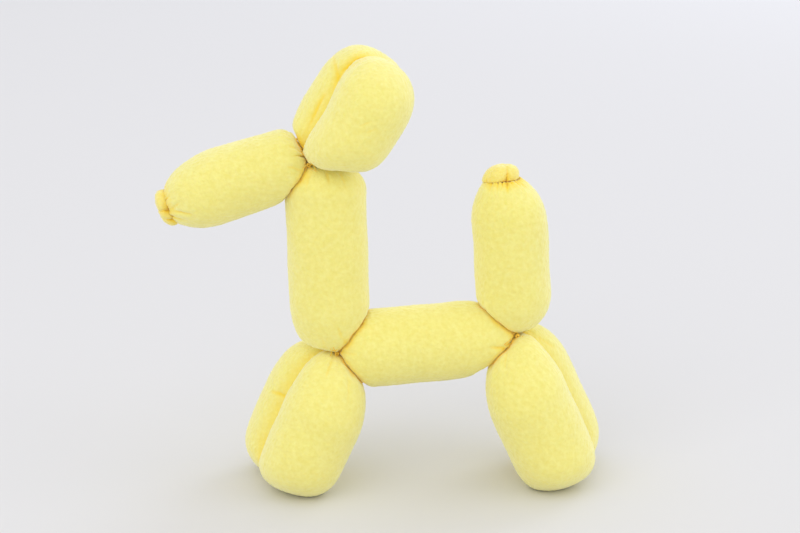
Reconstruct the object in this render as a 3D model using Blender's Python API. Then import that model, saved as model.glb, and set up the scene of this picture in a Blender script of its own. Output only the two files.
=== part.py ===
"""A balloon dog sewn from stuffed fleece tubes, with gathered ends and ruffled knots.

Metres, +Z up, +X towards the tail, -Y towards the near side. The side view is drawn in the XZ plane.
Every tube starts as a ball, is drawn out along its own axis, and is pressed flat where it meets a neighbour.
"""

import bmesh
import bpy
import numpy as np
from mathutils import Matrix, Vector

MM = 0.001

# Joints of the side view, as (x, z): where the gathered ends are sewn together
HEAD_JOINT = (-56 * MM, 209.5 * MM)
CHEST_JOINT = (-40 * MM, 89 * MM)
RUMP_JOINT = (73 * MM, 98.5 * MM)

# Creases between neighbours, in degrees from +X towards +Z, as seen from the joint that they start at
SNOUT_EARS_CREASE = 120
SNOUT_NECK_CREASE = 234
NECK_EARS_CREASE = 357
NECK_BODY_CREASE = 51
NECK_LEGS_CREASE = 165
BODY_LEGS_CREASE = 309
TAIL_HIND_CREASE = 4
TAIL_BODY_CREASE = 141
BODY_HIND_CREASE = 224

# Fit: the gap between sewn neighbours, and how far a gathered end reaches past its joint
SEAM_GAP = 0.3 * MM
GATHER_REACH = 1.5 * MM

# Single tubes: caps are the lengths over which the two ends round off, and an offset is how far a tube's axis
# passes beside its joint, along the tube's local X
SNOUT_RADII = (20.9 * MM, 26.2 * MM)
SNOUT_LENGTH = 92 * MM
SNOUT_TILT = 196
SNOUT_OFFSET = 3.3 * MM
SNOUT_CAPS = (18 * MM, 41 * MM)
NECK_RADIUS = 25.3 * MM
NECK_OFFSETS = (-9.5 * MM, 4.5 * MM)
NECK_CAPS = (21 * MM, 36 * MM)
BODY_RADIUS = 24.3 * MM
BODY_OFFSETS = (2.2 * MM, 2.2 * MM)
BODY_CAPS = (24 * MM, 44 * MM)
TAIL_RADIUS = 24 * MM
TAIL_LENGTH = 100 * MM
TAIL_TILT = 93.2
TAIL_OFFSET = 0 * MM
TAIL_CAPS = (28 * MM, 28 * MM)

# Folded tubes: two halves side by side, joined by the fold at the tip. Each half is flattened on the other by its
# press. The fold's tip sinks by the saddle between its humps, and the groove fills up towards it by the fill.
EAR_RADIUS = 25 * MM
EAR_PRESS = 3 * MM
EAR_LENGTH = 82 * MM
EAR_TILT = 57.5
EAR_OFFSET = 7.5 * MM
EAR_TURN = 12
EAR_CAPS = (40 * MM, 32 * MM)
LEG_RADIUS = 26 * MM
LEG_PRESS = 4 * MM
LEG_CAPS = (42 * MM, 30 * MM)
FRONT_TILT = 247
FRONT_OFFSET = 0 * MM
FRONT_TURN = -13
HIND_TILT = 294
HIND_OFFSET = 5 * MM
HIND_TURN = 14
FOLD_SADDLE = 3.5 * MM
FOLD_FILL = 0.8
SOLE_PRESS = 1.5 * MM

# Ruffled knots: how deep a knot sits in its tube, and how far beside the tube's axis
KNOT_RADIUS = 12 * MM
KNOT_THICKNESS = 11 * MM
KNOT_LOBES = 5
KNOT_LOBE_DEPTH = 0.16
KNOT_SEAT = 3 * MM
NOSE_KNOT_OFFSET = -5.5 * MM
TAIL_KNOT_OFFSET = -4 * MM

# Powers of the rounded ends: 2 is an ellipse, and more is blunter
GATHER_POWER = 2.0
TIP_POWER = 2.3
FOLD_POWER = 2.4

# Mesh density, and the angle in degrees above which an edge stays sharp
TUBE_SIDES = 24
TUBE_RINGS = 16
FOLD_SIDES = 32
FOLD_RINGS = 20
KNOT_SIDES = 20
KNOT_RINGS = 8
SHARP_ANGLE = 40
PLANE_MERGE = 0.0001 * MM

# Looks: the pale fleece of the tubes, the deeper yellow of the gathered knots, and a matt nap
FLEECE = (0.90, 0.83, 0.33)
KNOT_FLEECE = (0.90, 0.72, 0.16)
NAP_ROUGHNESS = 0.95


def direction(degrees):
    """Unit vector in the side view, from +X towards +Z."""
    turn = np.radians(degrees)
    return Vector((np.cos(turn), 0, np.sin(turn)))


def side_point(place):
    """A point of the side view on the middle plane."""
    return Vector((place[0], 0, place[1]))


def frame_beside(joint, tilt, offset=0, turn=0):
    """Local frame of a tube that starts at a joint: Z along the tube, Y across the dog, turned about Z by degrees.

    The axis passes beside the joint by offset, along X, and the frame starts GATHER_REACH before the joint.
    """
    z = direction(tilt)
    y = Vector((0, 1, 0))
    x = y.cross(z)
    start = side_point(joint) + x * offset - z * GATHER_REACH
    frame = Matrix.Translation(start) @ Matrix((x, y, z)).transposed().to_4x4()
    return frame @ Matrix.Rotation(np.radians(turn), 4, "Z")


def shift_to(joint, frame):
    """Where a joint lies beside a tube's axis, in local XY."""
    local = frame.inverted() @ side_point(joint)
    return (local.x, local.y)


def end_round(distance, reach, power):
    """Share of the full width at a distance from a tube's end: a superellipse as long as reach."""
    short = np.clip(1 - distance / reach, 0, 1)
    return (1 - short**power) ** (1 / power)


def ball(sides, rings):
    """A unit ball as a mesh being edited, with each point's share of the way up and its turn about Z.

    The share is u - sin(2 pi u) / (2 pi), with u the ring's number over all rings, which crowds rings at the ends.
    """
    bm = bmesh.new()
    bmesh.ops.create_uvsphere(bm, u_segments=sides, v_segments=rings, radius=1)
    co = np.array([v.co[:] for v in bm.verts])
    ring = 1 - np.arccos(np.clip(co[:, 2], -1, 1)) / np.pi
    return bm, ring - np.sin(2 * np.pi * ring) / (2 * np.pi), np.arctan2(co[:, 1], co[:, 0])


def put(bm, x, y, z):
    """Moves every point of the mesh to its new place."""
    for vert, place in zip(bm.verts, np.stack([x, y, z], axis=1)):
        vert.co = place


def press(bm, frame, point, outward):
    """Flattens the mesh on the plane through point, cutting off what lies on its outward side."""
    back = frame.inverted()
    cut = bmesh.ops.bisect_plane(
        bm,
        geom=bm.verts[:] + bm.edges[:] + bm.faces[:],
        dist=PLANE_MERGE,
        plane_co=back @ point,
        plane_no=back.to_3x3() @ outward,
        clear_outer=True,
    )
    edges = [e for e in cut["geom_cut"] if isinstance(e, bmesh.types.BMEdge)]
    bmesh.ops.edgeloop_fill(bm, edges=edges)


def press_between(bm, frame, joint, first, last):
    """Presses a tube's gathered end flat on both its neighbours: it keeps the wedge from crease first to last."""
    corner = side_point(joint)
    for crease, way in ((first, -1), (last, 1)):
        outward = way * direction(crease + 90)
        press(bm, frame, corner - outward * (SEAM_GAP / 2), outward)


def fleece(name, colour):
    """The matt fleece of one piece."""
    material = bpy.data.materials.new(name)
    material.use_nodes = True
    shader = material.node_tree.nodes["Principled BSDF"]
    shader.inputs["Base Color"].default_value = (*colour, 1)
    shader.inputs["Roughness"].default_value = NAP_ROUGHNESS
    shader.inputs["Metallic"].default_value = 0
    material.diffuse_color = (*colour, 1)
    return material


def finish(bm, name, frame, colour=FLEECE):
    """Turns the edited mesh into a named object at its frame, smooth but for the pressed edges."""
    bmesh.ops.recalc_face_normals(bm, faces=bm.faces)
    mesh = bpy.data.meshes.new(name)
    bm.to_mesh(mesh)
    bm.free()
    mesh.shade_smooth()
    mesh.set_sharp_from_angle(angle=np.radians(SHARP_ANGLE))
    mesh.materials.append(fleece(name + "_fleece", colour))
    obj = bpy.data.objects.new(name, mesh)
    obj.matrix_world = frame
    return obj


def knot_height(length):
    """Height of a knot's middle on a tube of this length: it sinks KNOT_SEAT into the tube's end."""
    return length + KNOT_THICKNESS / 2 - KNOT_SEAT


def single_tube(length, radii, caps, shifts, knot_offset=None):
    """A straight tube whose radius runs from radii[0] to radii[1], between two rounded ends.

    Each end's point may lie off the axis, by a shift in local XY. A knot that sits on the far end, knot_offset beside
    the axis along X, presses a dimple of its own shape into it.
    """
    bm, share, turn = ball(TUBE_SIDES, TUBE_RINGS)
    s = length * share
    low = end_round(s, caps[0], GATHER_POWER)
    high = end_round(length - s, caps[1], TIP_POWER)
    width = (radii[0] + (radii[1] - radii[0]) * share) * low * high
    x = shifts[0][0] * (1 - low) + shifts[1][0] * (1 - high) + width * np.cos(turn)
    y = shifts[0][1] * (1 - low) + shifts[1][1] * (1 - high) + width * np.sin(turn)
    if knot_offset is not None:
        out = np.hypot(x - knot_offset, y) / KNOT_RADIUS
        under = np.sqrt(1 - np.clip(out, 0, 1) ** 2) * KNOT_THICKNESS / 2
        floor = knot_height(length) - under - SEAM_GAP
        s = np.where((out < 1) & (s > length / 2), np.minimum(s, floor), s)
    put(bm, x, y, s)
    return bm


def folded_tube(length, radius, pressed, caps, shift, slant=0):
    """A tube folded in a U, its halves pressed together: local Y parts them, and the fold is at the far end.

    The outline round the axis is that of two circles, one for each half, that overlap by twice the press. Towards the
    fold the groove between them fills up to a straight side, and the tip sinks between its two humps by FOLD_SADDLE.
    """
    bm, share, turn = ball(FOLD_SIDES, FOLD_RINGS)
    s = length * share
    low = end_round(s, caps[0], GATHER_POWER)
    high = end_round(length - s, caps[1], FOLD_POWER)
    spread = radius - pressed
    lobed = spread * np.abs(np.sin(turn)) + np.sqrt(radius**2 - (spread * np.cos(turn)) ** 2)
    straight = radius / np.maximum(np.abs(np.cos(turn)), 1e-6)
    filled = np.where(straight * np.abs(np.sin(turn)) < spread, straight, lobed)
    near_tip = np.clip(1 - (length - s) / caps[1], 0, 1)
    fill = FOLD_FILL * near_tip**2 * (3 - 2 * near_tip)
    reach = (lobed + (filled - lobed) * fill) * low * high
    x = shift[0] * (1 - low) + reach * np.cos(turn)
    y = shift[1] * (1 - low) + reach * np.sin(turn)
    dip = FOLD_SADDLE * near_tip**2 * np.exp(-((2 * y / spread) ** 2))
    put(bm, x, y, s - dip + slant * y * share)
    return bm


def ruffle(radius, thickness):
    """A thick petalled disc: a flattened ball whose rim goes in and out KNOT_LOBES times."""
    bm, share, turn = ball(KNOT_SIDES, KNOT_RINGS)
    height = 2 * share - 1
    flat = np.sqrt(1 - height**2)
    rim = radius * flat * (1 - KNOT_LOBE_DEPTH * flat * (1 - np.cos(KNOT_LOBES * turn)) / 2)
    put(bm, rim * np.cos(turn), rim * np.sin(turn), thickness * height / 2)
    return bm


def build_snout():
    frame = frame_beside(HEAD_JOINT, SNOUT_TILT, SNOUT_OFFSET)
    shifts = (shift_to(HEAD_JOINT, frame), (NOSE_KNOT_OFFSET, 0))
    bm = single_tube(SNOUT_LENGTH, SNOUT_RADII, SNOUT_CAPS, shifts, NOSE_KNOT_OFFSET)
    press_between(bm, frame, HEAD_JOINT, SNOUT_EARS_CREASE, SNOUT_NECK_CREASE)
    return finish(bm, "snout", frame)


def build_tail():
    frame = frame_beside(RUMP_JOINT, TAIL_TILT, TAIL_OFFSET)
    shifts = (shift_to(RUMP_JOINT, frame), (TAIL_KNOT_OFFSET, 0))
    bm = single_tube(TAIL_LENGTH, (TAIL_RADIUS, TAIL_RADIUS), TAIL_CAPS, shifts, TAIL_KNOT_OFFSET)
    press_between(bm, frame, RUMP_JOINT, TAIL_HIND_CREASE, TAIL_BODY_CREASE)
    return finish(bm, "tail", frame)


def build_between(name, joints, radius, offsets, caps, creases):
    """A single tube from one joint to another: its axis passes beside each of them by its own offset."""
    first, last = (side_point(joint) for joint in joints)
    beside = Vector((0, 1, 0)).cross((last - first).normalized())
    along = (last + beside * offsets[1]) - (first + beside * offsets[0])
    frame = frame_beside(joints[0], np.degrees(np.arctan2(along.z, along.x)), offsets[0])
    length = along.length + 2 * GATHER_REACH
    shifts = [shift_to(joint, frame) for joint in joints]
    bm = single_tube(length, (radius, radius), caps, shifts)
    for joint, (start, end) in zip(joints, creases):
        press_between(bm, frame, joint, start, end)
    return finish(bm, name, frame)


def build_neck():
    joints = (HEAD_JOINT, CHEST_JOINT)
    creases = ((SNOUT_NECK_CREASE, NECK_EARS_CREASE), (NECK_BODY_CREASE, NECK_LEGS_CREASE))
    return build_between("neck", joints, NECK_RADIUS, NECK_OFFSETS, NECK_CAPS, creases)


def build_body():
    joints = (CHEST_JOINT, RUMP_JOINT)
    creases = ((BODY_LEGS_CREASE, NECK_BODY_CREASE), (TAIL_BODY_CREASE, BODY_HIND_CREASE))
    return build_between("body", joints, BODY_RADIUS, BODY_OFFSETS, BODY_CAPS, creases)


def build_ears():
    frame = frame_beside(HEAD_JOINT, EAR_TILT, EAR_OFFSET, EAR_TURN)
    bm = folded_tube(EAR_LENGTH, EAR_RADIUS, EAR_PRESS, EAR_CAPS, shift_to(HEAD_JOINT, frame))
    press_between(bm, frame, HEAD_JOINT, NECK_EARS_CREASE, SNOUT_EARS_CREASE)
    return finish(bm, "ears", frame)


def build_legs(name, joint, tilt, offset, turn, first, last):
    """A folded tube from its joint down to the floor, where both humps of the fold are pressed flat."""
    frame = frame_beside(joint, tilt, offset, turn)
    across = frame.to_3x3() @ Vector((0, 1, 0))
    down = -frame.col[2].z
    length = (frame.translation.z + SOLE_PRESS) / down
    bm = folded_tube(length, LEG_RADIUS, LEG_PRESS, LEG_CAPS, shift_to(joint, frame), across.z / down)
    press_between(bm, frame, joint, first, last)
    press(bm, frame, Vector((0, 0, 0)), Vector((0, 0, -1)))
    return finish(bm, name, frame)


def build_front_legs():
    creases = (NECK_LEGS_CREASE, BODY_LEGS_CREASE)
    return build_legs("front_legs", CHEST_JOINT, FRONT_TILT, FRONT_OFFSET, FRONT_TURN, *creases)


def build_hind_legs():
    creases = (BODY_HIND_CREASE, TAIL_HIND_CREASE)
    return build_legs("hind_legs", RUMP_JOINT, HIND_TILT, HIND_OFFSET, HIND_TURN, *creases)


def build_knot(name, tube, length, offset):
    """A ruffle that sits in the end of a tube of this length, beside its axis by offset along local X."""
    frame = tube.matrix_world @ Matrix.Translation((offset, 0, knot_height(length)))
    return finish(ruffle(KNOT_RADIUS, KNOT_THICKNESS), name, frame, KNOT_FLEECE)


def stand_on_floor(pieces):
    """Parents the pieces to an empty that puts the middle of their common box over the origin."""
    corners = np.array([piece.matrix_world @ v.co for piece in pieces for v in piece.data.vertices])
    centre = (corners.min(axis=0) + corners.max(axis=0)) / 2
    middle = bpy.data.objects.new("floor_middle", None)
    middle.location = (-centre[0], -centre[1], 0)
    collection = bpy.data.collections.new("balloon_dog")
    bpy.context.scene.collection.children.link(collection)
    collection.objects.link(middle)
    for piece in pieces:
        piece.parent = middle
        collection.objects.link(piece)


def main():
    for obj in list(bpy.data.objects):
        bpy.data.objects.remove(obj, do_unlink=True)
    snout = build_snout()
    tail = build_tail()
    pieces = [snout, build_ears(), build_neck(), build_body(), build_front_legs(), build_hind_legs(), tail]
    pieces.append(build_knot("nose_knot", snout, SNOUT_LENGTH, NOSE_KNOT_OFFSET))
    pieces.append(build_knot("tail_knot", tail, TAIL_LENGTH, TAIL_KNOT_OFFSET))
    stand_on_floor(pieces)


main()
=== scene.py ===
# %% [markdown]
# # A balloon dog, sewn and stuffed
# The toy copies a dog twisted from one long balloon. It is sewn from pale yellow fleece: seven
# stuffed tubes, gathered at their ends and joined at three places, with a ruffled knot at the nose
# and one on the tail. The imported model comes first. It fixes every size and place, and each piece
# of cloth below takes the place of one of its plain solids, so the numbers that shape a solid are
# repeated here with the piece that covers it.

import bpy
import numpy as np
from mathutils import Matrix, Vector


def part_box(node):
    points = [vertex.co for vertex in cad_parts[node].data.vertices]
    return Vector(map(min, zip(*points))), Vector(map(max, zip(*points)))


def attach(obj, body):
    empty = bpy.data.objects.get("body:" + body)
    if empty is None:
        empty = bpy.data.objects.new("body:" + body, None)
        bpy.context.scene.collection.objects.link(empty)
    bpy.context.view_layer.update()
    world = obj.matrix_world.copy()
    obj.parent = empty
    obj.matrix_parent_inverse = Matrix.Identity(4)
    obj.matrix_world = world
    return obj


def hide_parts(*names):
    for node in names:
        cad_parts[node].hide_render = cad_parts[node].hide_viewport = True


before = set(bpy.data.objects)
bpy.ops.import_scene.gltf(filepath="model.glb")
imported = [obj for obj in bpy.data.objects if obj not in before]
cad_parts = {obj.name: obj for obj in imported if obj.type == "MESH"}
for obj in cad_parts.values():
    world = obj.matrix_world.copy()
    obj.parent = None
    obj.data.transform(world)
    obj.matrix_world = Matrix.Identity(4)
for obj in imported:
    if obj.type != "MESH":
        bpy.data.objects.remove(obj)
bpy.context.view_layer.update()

MM = 0.001
print("packed pieces:", ", ".join(sorted(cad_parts)))

# %% [markdown]
# ## The camera
# The photograph looks down a little and comes from slightly left of square. A Blender camera could
# be turned by hand until the render fits. Here its place is worked out from a few numbers instead,
# because the same numbers say where any point of the toy lands in the photograph. Small folds and
# stitches are later drawn by that rule.

# %% Place the camera
FRAME_PX = (800, 533)
FOCAL_PX = 1700
SENSOR_MM = 36
LOOK_DOWN = np.radians(15)
LOOK_RIGHT = np.radians(3.4)
DISTANCE = 1.062
MIDDLE_SHIFT = 9.05 * MM
AIM = np.array([MIDDLE_SHIFT, 0, 141.7 * MM])

LEVEL = np.array([np.sin(LOOK_RIGHT), np.cos(LOOK_RIGHT), 0])
FORWARD = LEVEL * np.cos(LOOK_DOWN) - np.array([0, 0, np.sin(LOOK_DOWN)])
RIGHT = np.array([np.cos(LOOK_RIGHT), -np.sin(LOOK_RIGHT), 0])
UP = np.cross(RIGHT, FORWARD)
EYE = AIM - FORWARD * DISTANCE

lens = bpy.data.cameras.new("photo_lens")
lens.sensor_width = SENSOR_MM
lens.lens = SENSOR_MM * FOCAL_PX / FRAME_PX[0]
camera = bpy.data.objects.new("photo_camera", lens)
camera.location = EYE
camera.rotation_euler = (np.pi / 2 - LOOK_DOWN, 0, -LOOK_RIGHT)
bpy.context.scene.collection.objects.link(camera)
bpy.context.scene.camera = camera
print("camera at", np.round(EYE, 3), "lens", round(lens.lens, 1), "mm")


# %% Where a point lands in the photograph
def seen_at(points):
    """Pixel places of points, and their depths: a point's way to the right and down from the line of
    sight, over its depth, times the focal length in pixels, from the middle of the frame."""
    away = points - EYE
    depth = away @ FORWARD
    across = FRAME_PX[0] / 2 + FOCAL_PX * (away @ RIGHT) / depth
    down = FRAME_PX[1] / 2 - FOCAL_PX * (away @ UP) / depth
    return np.stack([across, down], axis=-1), depth


# %% [markdown]
# ## Colours and material nodes
# Colours are written as the hex values that a paint program shows. Blender's shaders work with
# linear light, so one function turns them over. A second one starts an empty material, and a third
# adds a node with its settings and links, which keeps each material below to a few readable lines.

# %% Helpers for materials
def linear(hex_colour, alpha=1.0):
    """A hex colour as linear light: c / 12.92 below 0.04045, and ((c + 0.055) / 1.055) to the power
    2.4 above."""
    c = np.array([int(hex_colour[i : i + 2], 16) / 255 for i in (1, 3, 5)])
    c = np.where(c <= 0.04045, c / 12.92, ((c + 0.055) / 1.055) ** 2.4)
    return (*c.tolist(), alpha)


def blank(name):
    """A new material and its empty node tree."""
    material = bpy.data.materials.new(name)
    material.use_nodes = True
    material.node_tree.nodes.clear()
    return material, material.node_tree


def add(tree, kind, inputs=None, **settings):
    """Adds a node. Settings are its own properties; an input is set to a value, or linked if it is a
    socket."""
    made = tree.nodes.new(kind)
    for name, value in settings.items():
        setattr(made, name, value)
    for name, value in (inputs or {}).items():
        if isinstance(value, bpy.types.NodeSocket):
            tree.links.new(value, made.inputs[name])
        else:
            made.inputs[name].default_value = value
    return made


# %% [markdown]
# ## Polar fleece
# Polar fleece is a polyester knit, brushed until its surface is a short, dense, matt nap. It
# scatters light, so it has no highlight. Its outline turns pale, where the fibres are seen end on,
# and its colour deepens in folds, where the nap is crushed and light bounces from yellow to yellow.
# Hair particles could draw every fibre, but they would be lost in the export. Here a Principled
# shader does it with a rough base, a strong sheen and a little light passing through. The nap's
# clumps are about 3 mm wide, and the single tufts about 0.8 mm, drawn a little coarser than real
# ones so that they show at a pixel for each 0.6 mm.
# Here the deeper colour of folds is painted: two warmer tones stand for shade and bounce light.

# %% The fleece material
CLUMP = 3.0 * MM
TUFT = 0.8 * MM
PILE = 0.35 * MM
LIGHT_REACH = 2.5 * MM
MOTTLE_RANGE = (0.32, 0.68)
FOLD_SHADE_RANGE = (0.05, 0.6)
CRUSHED_SHADE_RANGE = (0.55, 1.0)


def fleece(name, pale, mid, fold, crushed):
    """Brushed polyester fleece: pale tufts over a mid tone, mottled by noise, and two deeper tones
    that follow the cloth's own fold attribute. Both are painted shade, warmed as by light bounced
    between yellow cloth, and the crushed one is partly also the darker look of flattened nap."""
    material, tree = blank(name)
    place = add(tree, "ShaderNodeTexCoord").outputs["Object"]
    clumps = add(
        tree,
        "ShaderNodeTexNoise",
        {"Vector": place, "Scale": 1 / CLUMP, "Detail": 3.0, "Roughness": 0.6},
    )
    tufts = add(
        tree,
        "ShaderNodeTexNoise",
        {"Vector": place, "Scale": 1 / TUFT, "Detail": 2.0, "Roughness": 0.7},
    )
    depth = add(tree, "ShaderNodeAttribute", attribute_name="fold").outputs["Fac"]
    colour = linear(mid)
    # The fold and crushed layers below are painted shade, laid on by the fold attribute.
    layers = [
        (clumps.outputs["Fac"], MOTTLE_RANGE, pale),
        (depth, FOLD_SHADE_RANGE, fold),
        (depth, CRUSHED_SHADE_RANGE, crushed),
    ]
    for value, (low, high), tone in layers:
        share = add(tree, "ShaderNodeMapRange", {"Value": value, "From Min": low, "From Max": high})
        mixed = add(
            tree,
            "ShaderNodeMix",
            {"Factor": share.outputs["Result"], "A": colour, "B": linear(tone)},
            data_type="RGBA",
        )
        colour = mixed.outputs["Result"]
    bump = add(
        tree,
        "ShaderNodeBump",
        {"Height": tufts.outputs["Fac"], "Strength": 0.6, "Distance": PILE},
    )
    shader = add(
        tree,
        "ShaderNodeBsdfPrincipled",
        {
            "Base Color": colour,
            "Normal": bump.outputs["Normal"],
            "Roughness": 1.0,
            "IOR": 1.45,
            "Specular IOR Level": 0.1,
            "Subsurface Weight": 0.3,
            "Subsurface Radius": (1.0, 0.85, 0.35),
            "Subsurface Scale": LIGHT_REACH,
            "Sheen Weight": 1.0,
            "Sheen Roughness": 0.55,
            "Sheen Tint": linear("#FBF8D0"),
        },
    )
    add(tree, "ShaderNodeOutputMaterial", {"Surface": shader.outputs["BSDF"]})
    return material


# The open cloth is pale and cool. The ruffles are the same cloth gathered tight, so that more
# light bounces inside them, and their copy of the fleece has that bounce light painted in, as a
# warmer and deeper yellow. In both, the last two colours are painted shade for folds and creases.
yellow_fleece = fleece("brushed_polyester_fleece", "#F3EB8E", "#EDE27C", "#F6D840", "#E0B01C")
knot_fleece_painted_bounce = fleece("gathered_fleece_painted_bounce", "#F4E684", "#F0DC70", "#F2CE3C", "#DCA81C")
print("materials:", yellow_fleece.name, "and", knot_fleece_painted_bounce.name)

# %% [markdown]
# ## Points spread evenly
# Each tube is a grid: rings along it, and sides around it. Rings at equal heights would lie too far
# apart where the ends close, so both directions are walked in many small steps and cut at equal
# lengths. A sphere or cylinder from Blender's menu would bunch its points at the poles instead. The
# nap needs a point for about each 0.65 mm.

# %% Grid helpers
SPACING = 0.66 * MM
CLOTH_SPACING = 2.6 * MM
FINE_STEPS = 4001
TINY = 1e-15


def summed(steps):
    """Running sums of steps, from zero."""
    return np.concatenate([[0], np.cumsum(steps)])


def evenly(values, x, y, spacing, closed=False):
    """Values at equal steps along the line (x, y), and their distances from its start. The line's
    length is summed over its small steps, and the number of points gives about the spacing between
    them."""
    run = summed(np.hypot(np.diff(x), np.diff(y)))
    count = int(run[-1] / spacing) + 1
    wanted = np.linspace(0, run[-1], count, endpoint=not closed)
    return np.interp(wanted, run, values), wanted


def unit(vectors):
    """Vectors over their own lengths."""
    return vectors / np.maximum(np.linalg.norm(vectors, axis=-1, keepdims=True), TINY)


def outward(grid):
    """Unit normals of a tube's grid: the step around it crossed with the step along it."""
    around = np.roll(grid, -1, axis=1) - np.roll(grid, 1, axis=1)
    along = np.gradient(grid, axis=0)
    return unit(np.cross(around, along))


# %% [markdown]
# ## Noise from waves
# Stuffing and nap are irregular, but the script has to give the same toy each time. Blender's own
# noise textures could move the points through a Displace modifier. A sum of plane waves in seeded
# directions is as smooth, has a size that can be named in millimetres, and works on whole arrays.

# %% Seeded waves
WAVE_COUNT = 28
WAVE_SPREAD = (0.75, 1.4)


def waves(points, size, seed, count=WAVE_COUNT):
    """Smooth noise of about unit height: a sum of cosine waves whose lengths lie around size, each
    with its own direction and start."""
    rng = np.random.default_rng(seed)
    way = rng.normal(size=(count, 3))
    way /= np.linalg.norm(way, axis=1, keepdims=True)
    way *= 2 * np.pi / (size * rng.uniform(*WAVE_SPREAD, size=(count, 1)))
    start = rng.uniform(0, 2 * np.pi, count)
    total = np.zeros(points.shape[:-1])
    for k in range(count):
        total += np.cos(points @ way[k] + start[k])
    return total * np.sqrt(2 / count)


# %% [markdown]
# ## Joints and creases
# The three joints lie on the toy's middle plane. From each of them three creases run outwards, one
# between each two neighbours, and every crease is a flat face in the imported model. The angles below
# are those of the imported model, counted from the tail's side towards the top. Each cloth keeps half
# of a small gap to the crease, so that neighbours touch without cutting into each other.

# %% Joints and creases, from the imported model
SEAM_GAP = 0.3 * MM
GATHER_REACH = 1.5 * MM


def joint_at(x, z):
    """A joint from its place in the side view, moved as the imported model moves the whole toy."""
    return np.array([x * MM + MIDDLE_SHIFT, 0, z * MM])


HEAD_JOINT = joint_at(-56, 209.5)
CHEST_JOINT = joint_at(-40, 89)
RUMP_JOINT = joint_at(73, 98.5)
CREASES = {
    "snout": [(HEAD_JOINT, 120, 234)],
    "ears": [(HEAD_JOINT, 357, 120)],
    "neck": [(HEAD_JOINT, 234, 357), (CHEST_JOINT, 51, 165)],
    "front_legs": [(CHEST_JOINT, 165, 309)],
    "body": [(CHEST_JOINT, 309, 51), (RUMP_JOINT, 141, 224)],
    "hind_legs": [(RUMP_JOINT, 224, 4)],
    "tail": [(RUMP_JOINT, 4, 141)],
}


def direction(degrees):
    """Unit vector in the side view, from +X towards +Z."""
    turn = np.radians(degrees)
    return np.array([np.cos(turn), 0, np.sin(turn)])


def press_planes(piece):
    """The planes that a piece is pressed on: a point, an outward normal and the way that its ripple
    counts."""
    planes = []
    for joint, first, last in CREASES[piece]:
        for crease, way in ((first, -1), (last, 1)):
            normal = way * direction(crease + 90)
            planes.append((joint - normal * SEAM_GAP / 2, normal, way))
    return planes


print("planes of each piece:", {piece: len(press_planes(piece)) for piece in CREASES})

# %% [markdown]
# ## Tubes
# A stuffed tube could be a cylinder with modifiers, but its two ends differ and the gather pulls
# one of them aside. Here it is a function of height and turn: a radius that both ends round off, on
# an axis that leans to the joint. Folded tubes use the outline of two circles side by side, with
# the groove between them.

# %% Rounded ends and local frames
GATHER_POWER = 2.0
TIP_POWER = 2.3
FOLD_POWER = 2.4


def frame_beside(joint, tilt, offset=0, turn=0):
    """Origin and axes of a tube that starts at a joint: the third axis runs along it, the second
    across the toy, both turned about it by degrees, and the axis passes beside the joint by
    offset."""
    z = direction(tilt)
    y = np.array([0, 1, 0])
    x = np.cross(y, z)
    origin = joint + x * offset - z * GATHER_REACH
    c, s = np.cos(np.radians(turn)), np.sin(np.radians(turn))
    return origin, np.array([x * c + y * s, y * c - x * s, z])


def shift_to(joint, origin, axes):
    """Where a joint lies beside a tube's axis, as its two local shifts."""
    return ((joint - origin) @ axes.T)[:2]


def round_end(distance, reach, power):
    """Share of the full width at a distance from a tube's end: a superellipse as long as reach."""
    short = np.clip(1 - distance / reach, 0, 1)
    return (1 - short**power) ** (1 / power)


def bell(x):
    """The bell curve: e to the power of minus x squared."""
    return np.exp(-(x**2))


def tube_lines(length, width, outline, spacing):
    """The height and turn of each grid point of a tube, the turns alone, and the way along the
    surface from the start, all at even steps. The small steps, length times u less a sine of u, lie
    closest at both ends, where the width changes fastest."""
    u = np.linspace(0, 1, FINE_STEPS)
    fine = length * (u - np.sin(2 * np.pi * u) / (2 * np.pi))
    height, run = evenly(fine, fine, width(fine), spacing)
    circle = np.linspace(0, 2 * np.pi, FINE_STEPS)
    x, y = outline(circle) * np.cos(circle), outline(circle) * np.sin(circle)
    turn, _ = evenly(circle, x, y, spacing, closed=True)
    s, t = np.meshgrid(height, turn, indexing="ij")
    return s, t, turn, run[:, None]


# %% Straight tubes
def straight_tube(place, length, radii, caps, shifts, spacing):
    """Grid of a straight tube, with the turns around it and the distances along it from its start.

    Width is the radius, running from radii[0] to radii[1], times both end roundings. Each end's
    point is moved off the axis by its shift, by the share that its rounding lacks."""
    origin, axes = place

    def width(s):
        grow = radii[0] + (radii[1] - radii[0]) * s / length
        start, end = round_end(s, caps[0], GATHER_POWER), round_end(length - s, caps[1], TIP_POWER)
        return grow * start * end

    s, t, turn, run = tube_lines(length, width, lambda turns: max(radii), spacing)
    low = 1 - round_end(s, caps[0], GATHER_POWER)
    high = 1 - round_end(length - s, caps[1], TIP_POWER)
    x = shifts[0][0] * low + shifts[1][0] * high + width(s) * np.cos(t)
    y = shifts[0][1] * low + shifts[1][1] * high + width(s) * np.sin(t)
    return origin + np.stack([x, y, s], axis=-1) @ axes, turn, run


# %% Folded tubes
FOLD_SADDLE = 3.5 * MM
FOLD_FILL = 0.8
GROOVE_SOFTNESS = 0.035


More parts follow.
